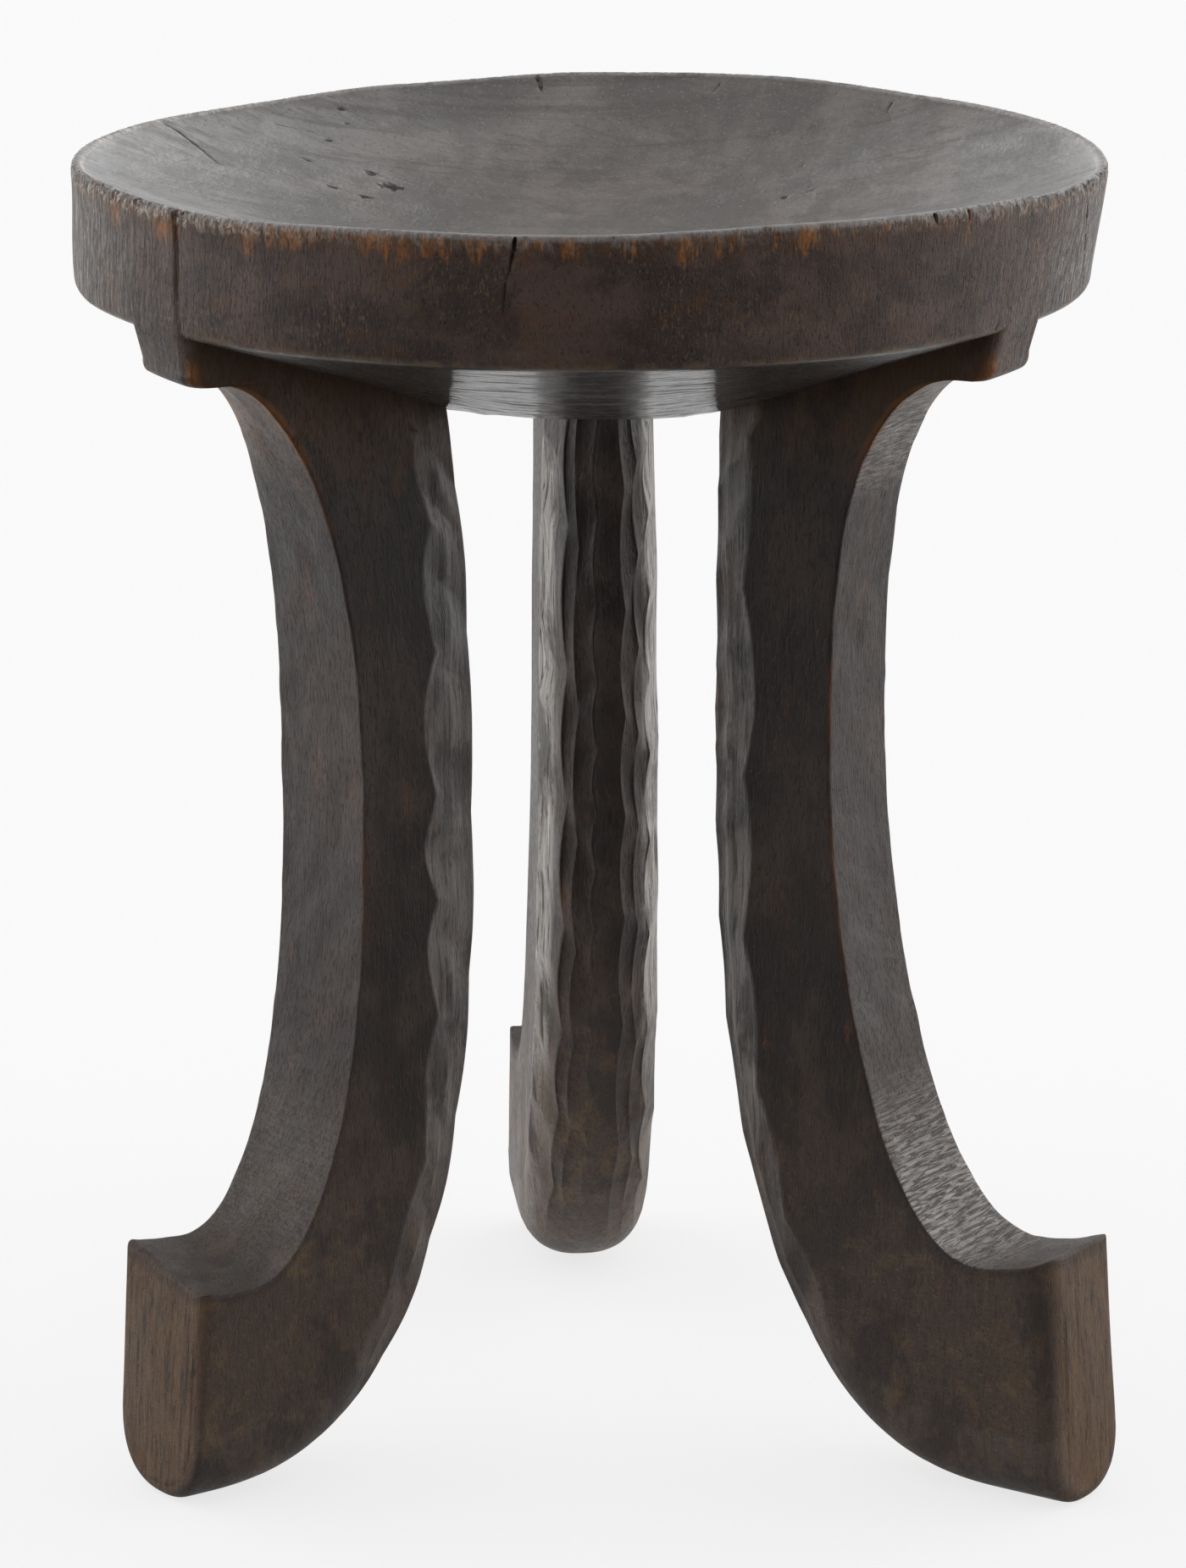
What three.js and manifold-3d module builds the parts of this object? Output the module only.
// A carved wooden stool: a thick round seat, dished on top and bulging underneath, on three curved legs.
// Each leg starts in a bracket flush with the rim, draws in to a waist and sweeps out to a heavy foot.
// Millimetres, +Z up. The front is -Y. The origin is on the floor, under the middle of the bounding box.
import * as THREE from "three";
import { mergeVertices } from "three/addons/utils/BufferGeometryUtils.js";
import Module from "manifold-3d";

// Seat
const stoolHeight = 420; // floor to the rim's mean top
const seatDiameter = 332;
const rimWallHeight = 41;
const rimTaper = 4.4; // lost on the radius between the rim's top and its lower edge
const lipWidth = 6; // the narrow worn ledge round the dish
const lipCrown = 1.6; // how far that ledge rises between its two edges
const lowerEdgeRound = 2.5;
const dishDepth = 28;
const dishFlatness = 2.3; // exponent: 2 is a paraboloid, more leaves a wider flat middle
const undersideDrop = 37.5; // the rim's lower edge to the lowest point underneath
const undersideSlope = 0.355; // of the cone between the rim and the middle
const coneInnerRadius = 64;
const rimWarp = 3.4; // the rim's own unevenness, up and down
const backWarpShares = [-0.65, -0.4, -0.3, 0.3, 0.1, -0.5, -1, -0.8]; // round from +X over +Y
const frontWarpShares = [-0.75, -0.25, -0.5, 0, 0.05, 0.45, 0.25, -0.45]; // and on from -X over -Y

// Legs, each in its own upright plane: reach is measured from the seat's axis
const waistReach = 103; // to the outer face where the leg is slimmest
const waistHeight = 232;
const waistDepth = 51; // from the outer face to the inner one
const topLean = 5; // the inner face leans out this much between the waist and the seat
const bracketDrop = 16; // how far the bracket hangs below the rim
const bracketRound = 10;
const bracketSet = 1; // the bracket's end stands this far behind the rim's lower edge
const footReach = 177;
const footHeight = 79; // floor to the end of the foot's top
const footSag = 4; // the hollow of the foot's top below its end
const footHollow = 22; // from the foot's end back to where that hollow is lowest
const toeSplay = 5; // the foot's end leans out this much towards the floor
const toeRound = 4;
const soleLength = 20; // flat on the floor
const bracketWidth = 26.5;
const waistWidth = 41;
const footWidth = 44.5;
const innerRound = 18; // how far the inner side is rounded back at its two edges
const upperSweep = 2.32; // superellipse exponents of the three long curves
const lowerSweep = 2.05;
const innerSweep = 2.47;
const clearance = 0.3; // between a leg's top and the seat's underside

// What is each leg's own: its bearing from +X in degrees, and the shares of the pattern's sizes that it takes
const legs = [
  {
    name: "leg_left",
    bearing: 215.2,
    reachShare: 0.95,
    waistReachShare: 1.025,
    waistShare: 0.93,
    footShare: 0.945,
    hollowShare: 0.8,
    widthShare: 1.16,
    footWidthShare: 1.07,
    shiftShare: 0.04,
  },
  {
    name: "leg_right",
    bearing: 325.9,
    reachShare: 1.05,
    waistReachShare: 0.99,
    waistShare: 1.07,
    footShare: 1.065,
    hollowShare: 1.25,
    widthShare: 0.84,
    footWidthShare: 0.92,
    shiftShare: 0.04,
  },
  {
    name: "leg_back",
    bearing: 95.8,
    reachShare: 1,
    waistReachShare: 0.97,
    waistShare: 1.05,
    footShare: 0.95,
    hollowShare: 1,
    widthShare: 0.97,
    footWidthShare: 1,
    shiftShare: -0.25,
  },
];

// Fineness
const turns = 72;
const dishSteps = 11;
const lipSteps = 4;
const wallSteps = 4;
const edgeSteps = 3;
const middleSteps = 5;
const coneSteps = 5;
const sweepSteps = 15;
const soleSteps = 3;
const roundSteps = 4;
const innerShares = [0.5, 0.47, 0.39, 0.27, 0.14]; // of the width: the ridges between the inner side's facets
const overrun = 20; // how far a cutting solid, or a shape about to be cut, goes past the cut
const weld = 1e-3; // corners nearer than this are one

const seatRadius = seatDiameter / 2;
const rimFoot = stoolHeight - rimWallHeight; // height of the rim's lower edge
const lowerRadius = seatRadius - rimTaper;
const bracketFoot = rimFoot - bracketDrop;
const bracketReach = lowerRadius - bracketSet; // at the foot of its end
const underReach = bracketReach - bracketRound; // where its underside begins

const wasm = await Module();
wasm.setup();

// A geometry's corners shared between its faces, without the faces that this leaves with no area.
function welded(geometry) {
  const bare = geometry.clone();
  bare.deleteAttribute("normal");
  bare.deleteAttribute("uv");
  const merged = mergeVertices(bare, weld);
  const faces = [];
  for (let i = 0; i < merged.index.count; i += 3) {
    const [a, b, c] = merged.index.array.slice(i, i + 3);
    if (a !== b && b !== c && c !== a) faces.push(a, b, c);
  }
  merged.setIndex(faces);
  return merged;
}

function toSolid(geometry) {
  const merged = welded(geometry);
  return new wasm.Manifold(
    new wasm.Mesh({
      numProp: 3,
      vertProperties: merged.attributes.position.array,
      triVerts: new Uint32Array(merged.index.array),
    }),
  );
}

function toGeometry(solid) {
  const mesh = solid.getMesh();
  const geometry = new THREE.BufferGeometry();
  geometry.setAttribute("position", new THREE.BufferAttribute(mesh.vertProperties, 3));
  geometry.setIndex(new THREE.BufferAttribute(mesh.triVerts, 1));
  geometry.computeVertexNormals();
  return geometry;
}

// A solid of revolution about Z, from a profile of (radius, height) points listed from its lowest to its highest.
function turned(profile) {
  return new THREE.LatheGeometry(profile, turns).rotateX(Math.PI / 2);
}

// Points on a quarter superellipse that leaves `from` upright and arrives level at `to`.
function sweep(from, to, exponent) {
  const points = [];
  for (let i = 0; i <= sweepSteps; i++) {
    const angle = (i / sweepSteps) * (Math.PI / 2);
    const across = 1 - Math.cos(angle) ** (2 / exponent);
    const along = Math.sin(angle) ** (2 / exponent);
    points.push(new THREE.Vector2(from.x + (to.x - from.x) * across, from.y + (to.y - from.y) * along));
  }
  return points;
}

// The seat's underside, from its lowest point out to the rim's lower edge.
function underside() {
  const coneHeight = rimFoot - undersideSlope * (lowerRadius - coneInnerRadius);
  const lowest = rimFoot - undersideDrop;
  const corner = lowerRadius - undersideDrop / undersideSlope;
  const middle = new THREE.QuadraticBezierCurve(
    new THREE.Vector2(0, lowest),
    new THREE.Vector2(corner, lowest),
    new THREE.Vector2(coneInnerRadius, coneHeight),
  ).getPoints(middleSteps);
  const cone = new THREE.LineCurve(
    new THREE.Vector2(coneInnerRadius, coneHeight),
    new THREE.Vector2(lowerRadius, rimFoot),
  ).getPoints(coneSteps);
  return [...middle, ...cone.slice(1)];
}

function wallRadius(height) {
  return lowerRadius + (rimTaper * (height - rimFoot)) / rimWallHeight;
}

function seatProfile() {
  const points = underside().slice(0, -1);
  const edge = new THREE.QuadraticBezierCurve(
    new THREE.Vector2(lowerRadius - lowerEdgeRound, rimFoot - undersideSlope * lowerEdgeRound),
    new THREE.Vector2(lowerRadius, rimFoot),
    new THREE.Vector2(wallRadius(rimFoot + lowerEdgeRound), rimFoot + lowerEdgeRound),
  );
  points.push(...edge.getPoints(edgeSteps));
  const wallTop = stoolHeight - lipCrown;
  for (let i = 1; i <= wallSteps; i++) {
    const height = THREE.MathUtils.lerp(rimFoot + lowerEdgeRound, wallTop, i / wallSteps);
    points.push(new THREE.Vector2(wallRadius(height), height));
  }
  const lip = new THREE.QuadraticBezierCurve(
    new THREE.Vector2(wallRadius(wallTop), wallTop),
    new THREE.Vector2(seatRadius - lipWidth / 2, stoolHeight + lipCrown),
    new THREE.Vector2(seatRadius - lipWidth, wallTop),
  );
  points.push(...lip.getPoints(lipSteps).slice(1));
  const dishRadius = seatRadius - lipWidth;
  for (let i = 1; i <= dishSteps; i++) {
    const share = 1 - i / dishSteps;
    points.push(
      new THREE.Vector2(dishRadius * share, wallTop - dishDepth * (1 - share ** dishFlatness)),
    );
  }
  return points;
}

// The rim's unevenness at a bearing, in turns from +X.
function warpAt(turn) {
  const warpShares = [...backWarpShares, ...frontWarpShares];
  const count = warpShares.length;
  const place = THREE.MathUtils.euclideanModulo(turn, 1) * count;
  const index = Math.floor(place) % count;
  const [a, b] = [warpShares[index], warpShares[(index + 1) % count]];
  return rimWarp * THREE.MathUtils.lerp(a, b, THREE.MathUtils.smoothstep(place - index, 0, 1));
}

function makeSeat() {
  const geometry = welded(turned(seatProfile()));
  const place = geometry.attributes.position;
  for (let i = 0; i < place.count; i++) {
    const [x, y, z] = [place.getX(i), place.getY(i), place.getZ(i)];
    const high = THREE.MathUtils.smoothstep(z, rimFoot + lowerEdgeRound, stoolHeight);
    const wide = THREE.MathUtils.smoothstep(Math.hypot(x, y), seatRadius / 2, seatRadius);
    place.setZ(i, z + warpAt(Math.atan2(y, x) / (2 * Math.PI)) * high * wide);
  }
  geometry.computeVertexNormals();
  return geometry;
}

// The two long edges of a leg's side view, top to toe: the outer face's and the inner face's, point for point.
function legEdges(leg) {
  const at = (x, y) => new THREE.Vector2(x, y);
  const reach = footReach * leg.reachShare;
  const height = footHeight * leg.footShare;
  const toe = reach + toeSplay;
  const heel = toe - toeRound - soleLength;
  const waist = at(waistReach * leg.waistReachShare, waistHeight * leg.waistShare);
  const innerWaist = at(waist.x - waistDepth, waist.y);
  const hollow = at(reach - footHollow * leg.hollowShare, height - footSag * leg.hollowShare);
  const top = rimFoot + overrun;

  const outer = [at(lowerRadius + overrun, top), at(lowerRadius + overrun, bracketFoot)];
  outer.push(...sweep(waist, at(underReach, bracketFoot), upperSweep).reverse());
  const inner = outer.map((p, i) => {
    const share = 1 - i / (outer.length - 1);
    return at(innerWaist.x + topLean * share ** 2, THREE.MathUtils.lerp(innerWaist.y, top, share));
  });
  outer.push(...sweep(waist, hollow, lowerSweep).slice(1));
  inner.push(...sweep(innerWaist, at(heel, 0), innerSweep).slice(1));
  const hollowEnd = at((hollow.x + reach) / 2, hollow.y);
  const footTop = new THREE.QuadraticBezierCurve(hollow, hollowEnd, at(reach, height));
  outer.push(...footTop.getPoints(soleSteps + roundSteps).slice(1));
  inner.push(...new THREE.LineCurve(at(heel, 0), at(toe - toeRound, 0)).getPoints(soleSteps).slice(1));
  const toeArc = new THREE.QuadraticBezierCurve(at(toe - toeRound, 0), at(toe, 0), at(toe, toeRound));
  inner.push(...toeArc.getPoints(roundSteps).slice(1));
  return { outer, inner };
}

// A leg's width at a height: it narrows from the foot to the waist and again to the bracket.
function legWidth(leg, height) {
  const slim = waistWidth * leg.widthShare;
  const waist = waistHeight * leg.waistShare;
  if (height < waist) return THREE.MathUtils.lerp(footWidth * leg.footWidthShare, slim, height / waist);
  const share = Math.min(1, (height - waist) / (rimFoot - waist));
  return THREE.MathUtils.lerp(slim, bracketWidth * leg.widthShare, share ** 2);
}

// A leg before its top is cut: rings round its section, flat outside and at the sides and facetted inside.
function legBlank(leg) {
  const { outer, inner } = legEdges(leg);
  const shares = [-0.5, 0.5, ...innerShares, ...innerShares.map((share) => -share).reverse()];
  const flat = Math.sqrt(1 - (2 * innerShares.at(-1)) ** 2); // the middle facet is the one not drawn back
  const positions = [];
  outer.forEach((face, ring) => {
    const back = inner[ring];
    const depth = face.distanceTo(back);
    shares.forEach((share, i) => {
      const drawnBack = innerRound * (flat - Math.sqrt(1 - (2 * share) ** 2));
      const p = face.clone().lerp(back, i < 2 ? 0 : 1 - drawnBack / depth);
      positions.push(p.x, share * legWidth(leg, p.y) + waistWidth * leg.shiftShare, p.y);
    });
  });
  const count = shares.length;
  const last = (outer.length - 1) * count;
  const faces = [];
  for (let i = 1; i < count - 1; i++) {
    faces.push(0, i, i + 1, last, last + i + 1, last + i);
  }
  for (let ring = 0; ring < last; ring += count) {
    for (let i = 0; i < count; i++) {
      const [a, b] = [ring + i, ring + ((i + 1) % count)];
      faces.push(a, a + count, b, b, a + count, b + count);
    }
  }
  const geometry = new THREE.BufferGeometry();
  geometry.setAttribute("position", new THREE.Float32BufferAttribute(positions, 3));
  geometry.setIndex(faces);
  return geometry;
}

// What a leg may fill: everything under the seat, and above the waist only what is inside the bracket's end.
function legEnvelope() {
  const wide = 2 * (footReach + overrun);
  const at = (x, y) => new THREE.Vector2(x, y);
  const corner = new THREE.QuadraticBezierCurve(
    at(underReach, bracketFoot),
    at(bracketReach, bracketFoot),
    at(bracketReach, bracketFoot + bracketRound),
  );
  const profile = [at(0, -overrun), at(wide, -overrun), at(wide, waistHeight), at(underReach, waistHeight)];
  profile.push(...corner.getPoints(roundSteps));
  profile.push(...underside().reverse().map((p) => at(p.x, p.y - clearance)));
  return toSolid(turned(profile));
}

function makeLeg(leg, envelope) {
  return toGeometry(toSolid(legBlank(leg)).intersect(envelope));
}

const darkWood = new THREE.MeshStandardMaterial({ color: 0x33261f, roughness: 0.5, metalness: 0 });
const seatWood = new THREE.MeshStandardMaterial({ color: 0x3b302a, roughness: 0.42, metalness: 0 });

const stool = new THREE.Group();
const envelope = legEnvelope();

const seat = new THREE.Mesh(makeSeat(), seatWood);
seat.name = "seat";
stool.add(seat);

for (const leg of legs) {
  const mesh = new THREE.Mesh(makeLeg(leg, envelope), darkWood);
  mesh.name = leg.name;
  mesh.rotation.z = THREE.MathUtils.degToRad(leg.bearing);
  stool.add(mesh);
}

// The stool is set over the middle of its own bounding box.
const box = new THREE.Box3().setFromObject(stool);
const middle = box.getCenter(new THREE.Vector3());
stool.children.forEach((mesh) => mesh.position.set(-middle.x, -middle.y, 0));

export default stool;
